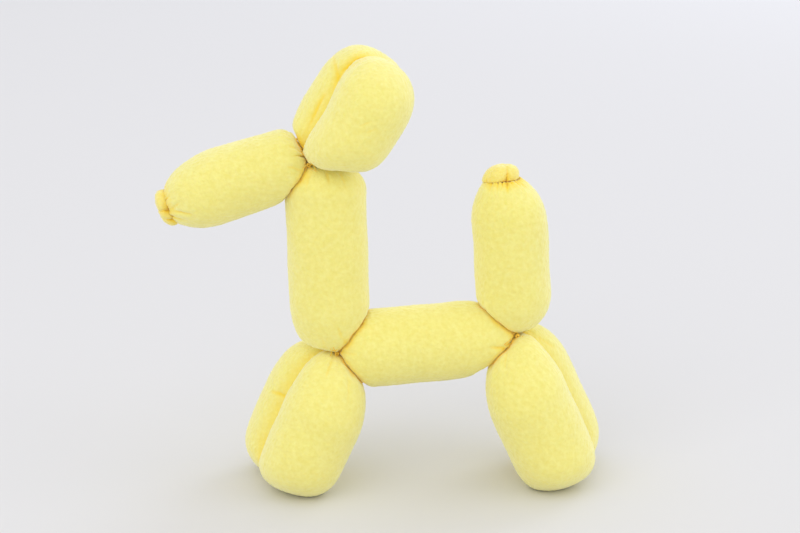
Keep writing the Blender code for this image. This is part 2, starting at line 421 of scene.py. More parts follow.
def folded_tube(place, length, radius, pressed, caps, shift, slant, spacing):
    """Grid of a tube folded in a U, with the turns around it and the distances along it from its
    start.

    The outline is that of two circles, their centres spread to both sides: spread times |sine| of
    the turn, plus the root of radius squared less (spread times cosine) squared. Near the fold it
    fills up to a straight side, and the tip sinks between its two humps. A slant lowers one hump
    and lifts the other."""
    origin, axes = place
    spread = radius - pressed

    def outline(t):
        soft_sine = np.sqrt(np.sin(t) ** 2 + GROOVE_SOFTNESS**2)
        return spread * soft_sine + np.sqrt(radius**2 - (spread * np.cos(t)) ** 2)

    def closing(s):
        return round_end(s, caps[0], GATHER_POWER) * round_end(length - s, caps[1], FOLD_POWER)

    def width(s):
        return (radius + spread / 2) * closing(s)

    s, t, turn, run = tube_lines(length, width, outline, spacing)
    straight = radius / np.maximum(np.abs(np.cos(t)), TINY)
    filled = np.where(straight * np.abs(np.sin(t)) < spread, straight, outline(t))
    near_tip = np.clip(1 - (length - s) / caps[1], 0, 1)
    fill = FOLD_FILL * near_tip**2 * (3 - 2 * near_tip)
    reach = (outline(t) + (filled - outline(t)) * fill) * closing(s)
    low = 1 - round_end(s, caps[0], GATHER_POWER)
    x = shift[0] * low + reach * np.cos(t)
    y = shift[1] * low + reach * np.sin(t)
    dip = FOLD_SADDLE * near_tip**2 * bell(2 * y / spread)
    z = s - dip + slant * y * s / length
    return origin + np.stack([x, y, z], axis=-1) @ axes, turn, run


# %% [markdown]
# ## Pressing, gathering and wrinkling
# Two stuffed tubes that are sewn together push each other flat, with soft edges. A boolean cut
# would leave hard ones, so each point slides towards the middle of its tube until it stays behind
# the plane of the crease, by a smooth minimum. Gathered ends pucker: narrow folds run out from the
# thread and fade. Single wrinkles are laid where the photograph shows them.

# %% Press a tube on its neighbours
PRESS_SOFTNESS = 0.8 * MM
SOLE_SOFTNESS = 0.6 * MM
GRAZING = 1e-6
EXPONENT_LIMIT = 60
RIPPLE = 11 * MM
RIPPLE_HEIGHT = 0.45 * MM
RIPPLE_SEED = 7
RIPPLE_WAVES = 12


def ripple(points):
    """How far a crease strays from its plane. Both neighbours follow it, so that they still fit."""
    return RIPPLE_HEIGHT * waves(points, RIPPLE, RIPPLE_SEED, RIPPLE_WAVES)


def press(grid, heart, planes, softness):
    """Slides points along lines from the heart so that they stay behind the planes: the new distance
    is the soft minimum of the old one and those at which the line meets each plane. Also returns how
    far each point moved."""
    ray = grid - heart
    far = np.linalg.norm(ray, axis=2)
    way = ray / far[..., None]
    total = np.ones(far.shape)
    for point, normal, side in planes:
        lean = way @ normal
        clear = (point - heart) @ normal
        meets = clear / np.maximum(lean, GRAZING)
        if side:
            hit = heart + way * np.minimum(meets, 2 * far)[..., None]
            meets = (clear + side * ripple(hit)) / np.maximum(lean, GRAZING)
        exponent = np.clip((far - meets) / softness, -EXPONENT_LIMIT, EXPONENT_LIMIT)
        total += np.where(lean > GRAZING, np.exp(exponent), 0)
    moved = softness * np.log(total)
    return heart + way * (far - moved)[..., None], moved


def clearance(grid, planes):
    """The distance from each point to the nearest crease: positive inside the piece."""
    gaps = [(point - grid) @ normal + side * ripple(grid) for point, normal, side in planes]
    return np.min(gaps, axis=0)


# %% Puckers of a gathered end
PUCKER_COUNT = 20
PUCKER_DEPTH = 0.7 * MM
PUCKER_REACH = 6 * MM
PUCKER_WIDTHS = (0.035, 0.09)
PUCKER_REACHES = (0.4, 1.0)
PUCKER_DEPTHS = (0.3, 1.0)


def shortest(angle):
    """The same angle between -pi and pi."""
    return np.angle(np.exp(1j * angle))


def puckers(turn, distance, seed):
    """How far the cloth sinks into the folds that run out from a gather: each fold is a bell curve
    of the turn, and fades with the distance from the crease or the thread."""
    rng = np.random.default_rng(seed)
    sunk = np.zeros(np.broadcast_shapes(turn.shape, distance.shape))
    for angle in rng.uniform(0, 2 * np.pi, PUCKER_COUNT):
        width = rng.uniform(*PUCKER_WIDTHS)
        off = shortest(turn - angle)
        fade = np.exp(-distance / (PUCKER_REACH * rng.uniform(*PUCKER_REACHES)))
        depth = PUCKER_DEPTH * rng.uniform(*PUCKER_DEPTHS)
        sunk += depth * bell(off / width) * fade
    return sunk


# %% Wrinkles laid by the photograph
PIXEL = 0.625 * MM
FACING = 4
WRINKLE_POWER = 0.8


def wrinkle(grid, normal, line, depth, width):
    """How far the cloth sinks along a line of the photograph: a bell curve of the distance to it,
    for the points that face the camera, times half a sine wave along the line to a power below one,
    which fades at both ends. Depth and width are given in millimetres."""
    depth, width = depth * MM, width * MM
    line = np.array(line, float)
    seen, _ = seen_at(grid)
    best = np.full(seen.shape[:-1], np.inf)
    along = np.zeros(seen.shape[:-1])
    lengths = np.linalg.norm(np.diff(line, axis=0), axis=1)
    starts = summed(lengths)
    for k in range(len(lengths)):
        step = (line[k + 1] - line[k]) / lengths[k]
        t = np.clip((seen - line[k]) @ step, 0, lengths[k])
        off = np.linalg.norm(seen - line[k] - t[..., None] * step, axis=-1)
        nearer = off < best
        best = np.where(nearer, off, best)
        along = np.where(nearer, (starts[k] + t) / starts[-1], along)
    facing = np.clip(-(normal @ FORWARD) * FACING, 0, 1)
    return depth * bell(best * PIXEL / width) * np.sin(np.pi * along) ** WRINKLE_POWER * facing


# %% [markdown]
# ## A mesh from a grid
# Blender takes a mesh as flat arrays: places, then the corners of all faces in a row, then where
# each face starts in that row. Numpy fills them at once, which is far quicker than adding vertices
# one by one. Values that belong to single points, such as how folded the cloth is, go into an
# attribute of the mesh, where a material can read them.

# %% Mesh helpers
def vertex_rows(grid):
    """Values on a grid in the order of its mesh: inner rings, then one value for each closed end."""
    inner = grid[1:-1].reshape(-1, *grid.shape[2:])
    return np.concatenate([inner, grid[:1].mean(axis=1), grid[-1:].mean(axis=1)])


def grid_rows(rows, shape):
    """The way back: values in the order of the mesh, laid on a grid of this shape."""
    sides = shape[1]
    inner = rows[:-2].reshape(shape[0] - 2, sides, -1)
    start, end = np.tile(rows[-2], (1, sides, 1)), np.tile(rows[-1], (1, sides, 1))
    return np.concatenate([start, inner, end])


def closed_mesh(name, grid):
    """The mesh of a tube's grid: quads between rings, and a fan of triangles at each closed end."""
    rings, sides = grid.shape[:2]
    inner = (rings - 2) * sides
    index = np.arange(inner).reshape(rings - 2, sides)
    beside = np.roll(index, -1, axis=1)
    quads = np.stack([index[:-1], beside[:-1], beside[1:], index[1:]], axis=-1).reshape(-1, 4)
    start = np.stack([np.full(sides, inner), beside[0], index[0]], axis=-1)
    end = np.stack([np.full(sides, inner + 1), index[-1], beside[-1]], axis=-1)
    corners = np.concatenate([quads.ravel(), start.ravel(), end.ravel()])
    sizes = np.concatenate([np.full(len(quads), 4), np.full(2 * sides, 3)])
    starts = summed(sizes)[:-1]
    mesh = bpy.data.meshes.new(name)
    mesh.vertices.add(inner + 2)
    mesh.vertices.foreach_set("co", vertex_rows(grid).ravel())
    mesh.loops.add(len(corners))
    mesh.loops.foreach_set("vertex_index", corners)
    mesh.polygons.add(len(sizes))
    mesh.polygons.foreach_set("loop_start", starts)
    mesh.update(calc_edges=True)
    mesh.shade_smooth()
    return mesh


# %% Put a mesh on the toy
def on_toy(mesh, fold, material):
    """The object of a finished mesh, which rides the toy's only body. Its attribute called fold
    keeps a value of each point for the material: how much painted shade it gets there."""
    kept = mesh.attributes.new("fold", "FLOAT", "POINT")
    kept.data.foreach_set("value", fold.astype(np.float32))
    mesh.materials.append(material)
    piece = bpy.data.objects.new(mesh.name, mesh)
    bpy.context.scene.collection.objects.link(piece)
    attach(piece, "root")
    return piece


def placed(name, grid, fold, material, node):
    """Makes the piece of a finished grid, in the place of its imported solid."""
    piece = on_toy(closed_mesh(name, grid), vertex_rows(fold[..., None])[:, 0], material)
    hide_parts(node)
    low, high = (np.array(corner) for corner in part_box(node))
    past = np.array([low - grid.min(axis=(0, 1)), grid.max(axis=(0, 1)) - high]) / MM
    triangles = 2 * (grid.shape[0] - 2) * grid.shape[1]
    print(name, triangles, "triangles, past the packed box by", *np.round(past, 1), "mm")
    return piece


# %% [markdown]
# ## Cloth simulation
# A sewn tube is cut straight, so it has too much cloth where a thread gathers its end, and the
# stuffing pushes that cloth into folds. Blender's cloth can do the same. A coarser copy of the tube
# starts as its rounded shape. Its springs are made too long near the gathers, pressure blows it up,
# and a weak pin on all points stands for the stuffing that holds it. The copy is ten times as
# large, because the solver works best on sizes near a metre. Only the movement is kept. It is
# averaged over a few rows lengthwise, because thick fleece folds along its gathers and not across
# them, and it is laid on the fine grid by smooth curves through the coarse points.

# %% Simulate a gathered tube
CLOTH_SCALE = 10
CLOTH_FRAMES = 20
CLOTH_GRIP = 0.55
CLOTH_ROWS = 2
EXTRA_CLOTH = 0.16
EXTRA_REACH = 17 * MM
CLOTH_CAP = 3 * MM
CLOTH_SETTINGS = {
    "shrink_min": -EXTRA_CLOTH,
    "shrink_max": 0,
    "quality": 6,
    "mass": 0.05,
    "tension_stiffness": 15,
    "compression_stiffness": 15,
    "shear_stiffness": 5,
    "bending_stiffness": 0.5,
    "use_pressure": True,
    "uniform_pressure_force": 15.0,
}


def weigh(piece, name, grid):
    """A vertex group with the weights of a grid, in steps of a hundredth."""
    weights = np.round(vertex_rows(grid[..., None])[:, 0], 2)
    group = piece.vertex_groups.new(name=name)
    for weight in np.unique(weights):
        group.add(np.flatnonzero(weights == weight).tolist(), float(weight), "REPLACE")
    return name


def simulated(name, grid, gathers, still):
    """How far each point of a coarse grid moves when its cloth is blown up. Extra cloth fades with the
    distance from a gather. Still is 1 where the points don't move."""
    piece = bpy.data.objects.new(name, closed_mesh(name, grid * CLOTH_SCALE))
    bpy.context.scene.collection.objects.link(piece)
    extra = np.clip(sum(bell(gather / EXTRA_REACH) for gather in gathers), 0, 1)
    cloth = piece.modifiers.new("cloth", "CLOTH")
    cloth.settings.vertex_group_shrink = weigh(piece, "as cut", 1 - extra)
    cloth.settings.vertex_group_mass = weigh(piece, "grip", np.maximum(still, CLOTH_GRIP))
    for setting, value in CLOTH_SETTINGS.items():
        setattr(cloth.settings, setting, value)
    cloth.settings.effector_weights.gravity = 0
    cloth.point_cache.frame_start = 1
    cloth.point_cache.frame_end = CLOTH_FRAMES
    for frame_number in range(1, CLOTH_FRAMES + 1):
        bpy.context.scene.frame_set(frame_number)
    result = piece.evaluated_get(bpy.context.evaluated_depsgraph_get())
    rows = np.empty(3 * len(piece.data.vertices))
    result.data.vertices.foreach_get("co", rows)
    bpy.context.scene.frame_set(1)
    mesh = piece.data
    bpy.data.objects.remove(piece)
    bpy.data.meshes.remove(mesh)
    moved = grid_rows(rows.reshape(-1, 3), grid.shape) / CLOTH_SCALE - grid
    far = np.linalg.norm(moved, axis=2, keepdims=True)
    most = round(float(far.max() / MM), 2)
    print(name, "cloth of", grid.shape[:2], "points moved up to", most, "mm")
    moved = moved * np.minimum(1, CLOTH_CAP / np.maximum(far, TINY))
    rows = np.pad(moved, ((CLOTH_ROWS, CLOTH_ROWS), (0, 0), (0, 0)), mode="edge")
    window = 2 * CLOTH_ROWS + 1
    return sum(rows[k : k + len(moved)] for k in range(window)) / window


# %% From the coarse grid to the fine one
def smoothly(rows, places, mode):
    """Values between rows by Catmull-Rom curves: each curve passes through two rows and leans on the
    next two."""
    first = np.floor(places).astype(int)
    share = (places - first).reshape(-1, *[1] * (rows.ndim - 1))
    a, b, c, d = (rows.take(first + k, axis=0, mode=mode) for k in (-1, 0, 1, 2))
    bend = 2 * a - 5 * b + 4 * c - d + share * (3 * (b - c) + d - a)
    return b + share / 2 * (c - a + share * bend)


def finer(field, shape):
    """A coarse grid's field on a finer grid of the same tube."""
    lengthwise = smoothly(field, np.linspace(0, len(field) - 1, shape[0]), "clip")
    around = np.arange(shape[1]) * field.shape[1] / shape[1]
    return smoothly(lengthwise.swapaxes(0, 1), around, "wrap").swapaxes(0, 1)


# %% [markdown]
# ## Seats for the knots
# The snout's nose and the tail's top each end in a gather that a thread ties off. The cloth heaps
# up around the thread, and the ruffle beyond it sits in a dimple. The dimple could be cut with a
# boolean, but then the nap would end at a hard edge. Here the tube's own points are lifted and
# pressed, by the same few heights that shape the ruffle later, so the two always fit.

# %% Where a knot sits
KNOT_RADIUS = 12 * MM
KNOT_DEPTH = 9.8 * MM
HEAP_WIDTH = 1.1
NOSE_KNOT = {
    "offset": -4.4 * MM,
    "heap": 3 * MM,
    "rim": 1.3 * MM,
    "top": 6.9 * MM,
    "bottom": -3.4 * MM,
}
TAIL_KNOT = {
    "offset": -4 * MM,
    "heap": 4.5 * MM,
    "rim": 1.3 * MM,
    "top": 9.6 * MM,
    "bottom": -1.5 * MM,
}


def from_knot(grid, place, length, offset):
    """Points in the frame of a knot, which starts at the end of a tube of this length."""
    origin, axes = place
    return (grid - origin) @ axes.T - [offset, 0, length]


def dimple(grid, place, length, knot):
    """The cloth heaps up towards the knot's thread, as a bell curve of the distance from it, and the
    knot presses its own shape into the heap: under it, a point goes no higher than its lower side,
    half a flattened ball."""
    origin, axes = place
    local = from_knot(grid, place, length, knot["offset"])
    out = np.hypot(local[..., 0] / KNOT_RADIUS, local[..., 1] / KNOT_DEPTH)
    ball = np.sqrt(1 - np.clip(out, 0, 1) ** 2)
    seat = knot["rim"] - (knot["rim"] - knot["bottom"]) * ball - SEAM_GAP
    upper = local[..., 2] > -length / 2
    local[..., 2] += upper * knot["heap"] * bell(out / HEAP_WIDTH)
    pressed = np.minimum(local[..., 2], seat)
    local[..., 2] = np.where((out < 1) & upper, pressed, local[..., 2])
    return origin + (local + [knot["offset"], 0, length]) @ axes


# %% [markdown]
# ## The cloth itself
# Every stuffed piece is finished in the same way: the simulated swell first, then the gathers'
# small puckers, the wrinkles and the pressing, and last the nap. The nap could be a bump map alone,
# but real relief on the mesh also breaks up the outline. The attribute called fold keeps how hollow
# or gathered the cloth is at each point, for the fleece material: in wrinkles, in the valley of a
# folded tube and around a knot's thread. The creases between the tubes get theirs later, from the
# thread that lies in them.
# The fleece turns this attribute into painted shade, a deeper and warmer yellow.

# %% Numbers of the finish
LUMP = 30 * MM
LUMP_HEIGHT = 0.2 * MM
NAP_HEIGHT = 0.15 * MM
COARSE_NAP = 0.6
FINE_NAP = 0.5
FINE_CLUMP = 0.6
SHRINK = 0.3 * MM
GATHER_STILL = 3 * MM
SOLE_STILL = 4 * MM
PUCKER_START = 0.8
CRUSHED_BY = 1.5 * MM
# The numbers from here to the valley's fade set painted shade: in hollows, wrinkles, a folded valley
# and near a knot.
HOLLOW_STEP = 4
HOLLOW_DEPTH = 1.2 * MM
WRINKLE_DEPTH = 3 * MM
WRINKLE_TINT = 0.6
SEAM_TINT = 0.95
SEAM_REACH = 1.08
SEAM_POWER = 4
VALLEY_TINT = 0.32
VALLEY_SPREAD = 1.15
VALLEY_FADE = 30 * MM
FLOOR_PLANE = (np.zeros(3), np.array([0, 0, -1.0]), 0)


def hollow(grid, normal):
    """How far each point lies below the mean of its neighbours some steps away, along the normal."""
    n = HOLLOW_STEP
    side = (np.roll(grid, n, axis=1) + np.roll(grid, -n, axis=1)) / 2
    padded = np.pad(grid, ((n, n), (0, 0), (0, 0)), mode="edge")
    length = (padded[2 * n :] + padded[: -2 * n]) / 2
    across = np.einsum("ijk,ijk->ij", side - grid, normal)
    lengthwise = np.einsum("ijk,ijk->ij", length - grid, normal)
    return np.maximum(across, lengthwise)


# %% Finish a grid as cloth
finished = {}


def stuffed(name, shape, seed, wrinkles, both_ends=False, knot_end=False, valley=0, on_floor=False):
    """Turns a tube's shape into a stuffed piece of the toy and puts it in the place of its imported
    solid.

    A shape gives, for a spacing, the grid with its turns and runs. A valley is the width, as a sine
    of the turn, of the groove of a folded tube, where its two halves are sewn together and the
    cloth stays still."""
    coarse, turn, run = shape(CLOTH_SPACING)
    gathers = [run, run[-1] - run] if both_ends else [run]
    gathers = [np.broadcast_to(gather, coarse.shape[:2]) for gather in gathers]
    still = sum(np.exp(-gather / GATHER_STILL) for gather in gathers)
    if valley:
        still = still + bell(np.sin(turn) / valley)
    if on_floor:
        still = still + np.exp(-np.clip(coarse[..., 2], 0, None) / SOLE_STILL)
    coarse = coarse - outward(coarse) * SHRINK
    swell = simulated(name, coarse, gathers, np.clip(still, 0, 1))

    grid, turn, run = shape(SPACING)
    to_end = run[-1] - run
    heart = (grid[0, 0] + grid[-1, 0]) / 2
    normal = outward(grid)
    planes = press_planes(name)
    sunk = puckers(turn, np.clip(clearance(grid, planes), 0, None), seed + 3)
    if knot_end:
        from_thread = np.clip(to_end - PUCKER_START * KNOT_RADIUS, 0, None)
        sunk = sunk + puckers(turn, from_thread, seed + 4)
    drawn = sum([wrinkle(grid, normal, *line) for line in wrinkles], np.zeros(grid.shape[:2]))
    lumps = LUMP_HEIGHT * waves(grid, LUMP, seed)
    grid = grid + finer(swell, grid.shape[:2]) + normal * (lumps - sunk - drawn - SHRINK)[..., None]
    grid, moved = press(grid, heart, planes, PRESS_SOFTNESS)
    if on_floor:
        grid, _ = press(grid, heart, [FLOOR_PLANE], SOLE_SOFTNESS)

    normal = outward(grid)
    # Painted shade: deeper colour in hollows, wrinkles, a folded tube's valley and near a knot.
    sinks = np.clip(hollow(grid, normal), 0, None) / HOLLOW_DEPTH
    fold = WRINKLE_TINT * np.tanh(sinks + drawn / WRINKLE_DEPTH)
    if valley:
        fade = np.clip(to_end / VALLEY_FADE, 0, 1)
        groove = bell(np.sin(turn) / (VALLEY_SPREAD * valley))
        fold = fold + VALLEY_TINT * groove * fade
    if knot_end:
        from_top = np.clip(to_end, 0, None) / (SEAM_REACH * KNOT_RADIUS)
        fold = fold + SEAM_TINT * np.exp(-(from_top**SEAM_POWER))
    coarse_nap = COARSE_NAP * np.tanh(waves(grid, CLUMP, seed + 1))
    tufts = coarse_nap + FINE_NAP * waves(grid, FINE_CLUMP * CLUMP, seed + 2)
    crushed = np.clip(moved / CRUSHED_BY, 0, 1)
    grid = grid + normal * (NAP_HEIGHT * (1 - crushed) * tufts)[..., None]
    if on_floor:
        grid[..., 2] = np.maximum(grid[..., 2], 0)
    finished[name] = grid
    fold = np.clip(fold, 0, 1)
    return placed(name + "_cloth", grid, fold, yellow_fleece, name)


# %% [markdown]
# ## Snout
# The snout is one straight tube, a little wider towards the nose. Its stuffing has settled, so the
# upper side sinks in a long shallow curve. A lattice could bend it, but two curves of the place
# along the tube say the same in a line each. A dimple at its end takes the knot.

# %% Snout
SNOUT_LENGTH = 92 * MM
snout_place = frame_beside(HEAD_JOINT, tilt=196, offset=2.2 * MM)
snout_shifts = (shift_to(HEAD_JOINT, *snout_place), (NOSE_KNOT["offset"], 0))
SNOUT_RADII = (20.9 * MM, 26.2 * MM)
SNOUT_CAPS = (15 * MM, 41 * MM)
SNOUT_SAG = 2.4 * MM
SAG_PLACE = 72 * MM
SAG_REACH = 19 * MM
SAG_RATIO = 3
UPPER_SHARE = 0.35


def settled(grid):
    """The stuffing has settled in the nose: the snout sinks by a bell curve of the place along it,
    its upper side most, and by a third as much all along."""
    origin, axes = snout_place
    local = (grid - origin) @ axes.T
    upper = local[..., 0] / np.maximum(np.hypot(local[..., 0], local[..., 1]), TINY)
    dent = bell((local[..., 2] - SAG_PLACE) / SAG_REACH)
    along = np.sin(np.pi * np.clip(local[..., 2] / SNOUT_LENGTH, 0, 1))
    sag = SNOUT_SAG * (dent + along / SAG_RATIO) * (1 - UPPER_SHARE + UPPER_SHARE * upper)
    return grid - sag[..., None] * axes[0]


def snout_shape(spacing):
    """The snout's grid, with the knot's dimple."""
    sizes = (snout_place, SNOUT_LENGTH, SNOUT_RADII, SNOUT_CAPS, snout_shifts)
    grid, turn, run = straight_tube(*sizes, spacing)
    return dimple(settled(grid), snout_place, SNOUT_LENGTH, NOSE_KNOT), turn, run


SNOUT_WRINKLES = [
    ([(170, 209), (176, 211.5), (184, 213.5), (194, 215)], 1.0, 1.1),
    ([(171, 217), (180, 219.5), (190, 221.5)], 0.5, 1.3),
    ([(170, 210), (174, 207), (180, 202.5)], 0.7, 1.1),
    ([(304, 172), (295, 168), (286, 166)], 0.6, 1.5),
]
stuffed("snout", snout_shape, seed=10, both_ends=True, knot_end=True, wrinkles=SNOUT_WRINKLES)

# %% [markdown]
# ## Neck and body
# Both run from one joint to the next, so both of their ends are gathered and pressed. They could be
# two cylinders, turned by hand until they fit. Here the two joints give their place and length, so
# that the ends meet their neighbours. Each axis passes a few millimetres beside the joints, because
# cloth shifts while it is sewn.

# %% Neck and body
def tube_between(joints, offsets):
    """Place and length of a tube from joint to joint, its axis passing beside each by an offset."""
    straight = joints[1] - joints[0]
    beside = np.cross([0, 1, 0], straight / np.linalg.norm(straight))
    along = (joints[1] + beside * offsets[1]) - (joints[0] + beside * offsets[0])
    tilt = np.degrees(np.arctan2(along[2], along[0]))
    return frame_beside(joints[0], tilt, offsets[0]), np.linalg.norm(along) + 2 * GATHER_REACH


def build_between(name, joints, radius, offsets, caps, seed, wrinkles):
    """A stuffed tube between two joints."""
    place, length = tube_between(joints, offsets)
    shifts = [shift_to(joint, *place) for joint in joints]

    def shape(spacing):
        return straight_tube(place, length, (radius, radius), caps, shifts, spacing)

    return stuffed(name, shape, seed, both_ends=True, wrinkles=wrinkles)


NECK_WRINKLES = [
    ([(325, 165), (327.5, 175), (329, 187)], 0.6, 1.5),
    ([(338, 166), (342, 176), (346, 188)], 0.5, 1.6),
    ([(314, 167), (308, 179), (304, 193)], 0.5, 1.8),
    ([(348, 347), (341, 336), (336, 323)], 0.6, 1.8),
    ([(331, 356), (324, 345), (320, 333)], 0.4, 1.8),
]
build_between(
    "neck",
    (HEAD_JOINT, CHEST_JOINT),
    radius=25.3 * MM,
    offsets=(-9.5 * MM, 3.6 * MM),
    caps=(21 * MM, 36 * MM),
    seed=20,
    wrinkles=NECK_WRINKLES,
)

BODY_WRINKLES = [
    ([(511, 351), (501, 348), (488, 347)], 0.9, 1.4),
    ([(336, 350), (349, 354), (362, 355.5)], 0.4, 1.8),
    ([(355, 321), (366, 327), (377, 330)], 0.4, 1.8),
]
build_between(
    "body",
    (CHEST_JOINT, RUMP_JOINT),
    radius=24.7 * MM,
    offsets=(2.2 * MM, 2.2 * MM),
    caps=(24 * MM, 44 * MM),
    seed=30,
    wrinkles=BODY_WRINKLES,
)

# %% [markdown]
# ## Tail
# A straight tube that stands nearly upright on the rump, with its knot on top. It is made as the
# snout is, but without the sag, because an upright tube carries its own stuffing.

# %% Tail
TAIL_LENGTH = 100 * MM
tail_place = frame_beside(RUMP_JOINT, tilt=93.7)
tail_shifts = (shift_to(RUMP_JOINT, *tail_place), (TAIL_KNOT["offset"], 0))
TAIL_RADII = (24 * MM, 23.6 * MM)
TAIL_CAPS = (27 * MM, 30 * MM)


def tail_shape(spacing):
    """The tail's grid, with the knot's dimple."""
    sizes = (tail_place, TAIL_LENGTH, TAIL_RADII, TAIL_CAPS, tail_shifts)
    grid, turn, run = straight_tube(*sizes, spacing)
    return dimple(grid, tail_place, TAIL_LENGTH, TAIL_KNOT), turn, run


TAIL_WRINKLES = [
    ([(505.5, 167), (506.8, 180), (508, 195)], 1.0, 1.3),
    ([(508, 175), (519, 183), (532, 192)], 0.5, 1.6),
    ([(497, 172), (491, 184), (487, 198)], 0.5, 1.8),
]
stuffed("tail", tail_shape, seed=40, both_ends=True, knot_end=True, wrinkles=TAIL_WRINKLES)

# %% [markdown]
# ## Ears and legs
# Each pair is one tube, folded in two like a twisted balloon, with both of its ends gathered in the
# joint. Two tubes side by side would miss the fold, where one half runs over into the other. A
# folded tube is drawn instead as one wide bag whose outline has a groove on both sides.
#
# Low down, the ears lean a little towards the snout, and the near ear's slack front lies flatter.

# %% Ears
VALLEY = 0.3
EAR_LENGTH = 82 * MM
EAR_RADIUS = 24.7 * MM
EAR_PRESS = 3 * MM
EAR_CAPS = (33 * MM, 32 * MM)
EAR_LEAN = 2.5 * MM
LEAN_PLACE = 9 * MM
LEAN_REACH = 11 * MM
EAR_FLAT = 3.4 * MM
FLAT_PLACE = 31 * MM
FLAT_REACH = 18 * MM
FRONT_REACH = 18 * MM
HALF_BLEND = 6 * MM
ear_place = frame_beside(HEAD_JOINT, tilt=57.5, offset=7.5 * MM, turn=10.5)
ear_shift = shift_to(HEAD_JOINT, *ear_place)


def ear_shape(spacing):
    """The ears' grid. Near the head they lean forward, by a bell curve of the distance along them.
    The near ear's front stays behind, and a little higher it is flatter than the far one's, by
    another bell curve."""
    sizes = (ear_place, EAR_LENGTH, EAR_RADIUS, EAR_PRESS, EAR_CAPS, ear_shift)
    grid, turn, run = folded_tube(*sizes, slant=0, spacing=spacing)
    origin, axes = ear_place
    local = (grid - origin) @ axes.T
    lean = EAR_LEAN * bell((local[..., 2] - LEAN_PLACE) / LEAN_REACH)
    front = np.clip(-local[..., 0] / FRONT_REACH, 0, 1)
    near_front = front * (0.5 - 0.5 * np.tanh(local[..., 1] / HALF_BLEND))
    flat = EAR_FLAT * bell((local[..., 2] - FLAT_PLACE) / FLAT_REACH)
    back = flat * near_front - lean * (1 - near_front)
    return grid + back[..., None] * axes[0], turn, run


EAR_TOP_FOLD = [(331, 96), (337, 79), (342, 70), (350, 64), (357.5, 59), (367, 55)]
EAR_TOP_FOLD += [(374, 55), (382, 56), (398, 61)]
EAR_WRINKLES = [
    ([(332.5, 52), (334.5, 63), (337.5, 82)], 0.9, 1.8),
    (EAR_TOP_FOLD, 1.5, 2.2),
    ([(309, 127), (313, 116), (319, 103), (326, 91)], 1.0, 1.6),
    ([(357, 128), (365, 124), (374, 121)], 0.3, 0.9),
    ([(364, 134), (371, 131), (379, 127)], 0.3, 0.9),
    ([(350, 107), (356, 99), (361, 93)], 0.25, 1.0),
]
stuffed("ears", ear_shape, seed=50, valley=VALLEY, wrinkles=EAR_WRINKLES)

# %% Legs
LEG_RADIUS = 26 * MM
LEG_PRESS = 4 * MM
LEG_CAPS = (42 * MM, 30 * MM)
SOLE_PRESS = 1.5 * MM


def build_legs(name, joint, tilt, offset, turn, seed, wrinkles):
    """A pair of legs: a folded tube as long as its tip needs to press SOLE_PRESS into the floor."""
    place = frame_beside(joint, tilt, offset, turn)
    origin, axes = place
    down = -axes[2][2]
    length = (origin[2] + SOLE_PRESS) / down
    slant = axes[1][2] / down
    shift = shift_to(joint, *place)

    def shape(spacing):
        return folded_tube(place, length, LEG_RADIUS, LEG_PRESS, LEG_CAPS, shift, slant, spacing)

    return stuffed(name, shape, seed, valley=VALLEY, on_floor=True, wrinkles=wrinkles)


FRONT_WRINKLES = [
    ([(288, 398), (281, 394), (270, 391)], 0.8, 1.4),
    ([(337, 350), (331, 363), (325, 379)], 0.8, 1.6),
    ([(347.5, 364), (349, 385), (348.5, 410)], 0.5, 2.0),
]
HIND_WRINKLES = [
    ([(537, 336), (547, 342), (558, 350)], 0.6, 1.6),
    ([(514, 338), (507, 352), (503, 368)], 0.4, 1.8),
]
front = {"tilt": 246.6, "offset": -0.6 * MM, "turn": -13, "seed": 60}
hind = {"tilt": 294, "offset": 5.3 * MM, "turn": 12, "seed": 70}
build_legs("front_legs", CHEST_JOINT, **front, wrinkles=FRONT_WRINKLES)
build_legs("hind_legs", RUMP_JOINT, **hind, wrinkles=HIND_WRINKLES)

# %% [markdown]
# ## Knots
# Past the last gather the tube's raw end flares into a ruffle, like the mouthpiece of a tied
# balloon, and a few pleats run from the thread over its top. Cloth this small and tight is hard to
# simulate. A cap of a cosine and a sine gives the same form, with a pleat at each named turn.

# %% Knots
KNOT_SPACING = 0.4 * MM
PROFILE_STRETCH = 1.3
KNOT_WIDTH = 0.97
BULGE = 0.03
PLEAT_WIDTH = 0.2
PLEAT_DEPTH = 0.2
PLEAT_LEAN = 0.12
PLEAT_SINK = 0.8 * MM
CROWN_SINK = 1.0 * MM
CROWN_WIDTH = 0.3
TIP_WIDTH = 0.6
TIP_REACH = 0.08
# Painted shade on the ruffle: in its pleats, on its underside and a little all over.
PLEAT_TINT = 0.8
UNDER_TINT = 1.2
KNOT_TINT = 0.1
KNOT_NAP = 1.6 * MM
KNOT_NAP_HEIGHT = 0.08 * MM


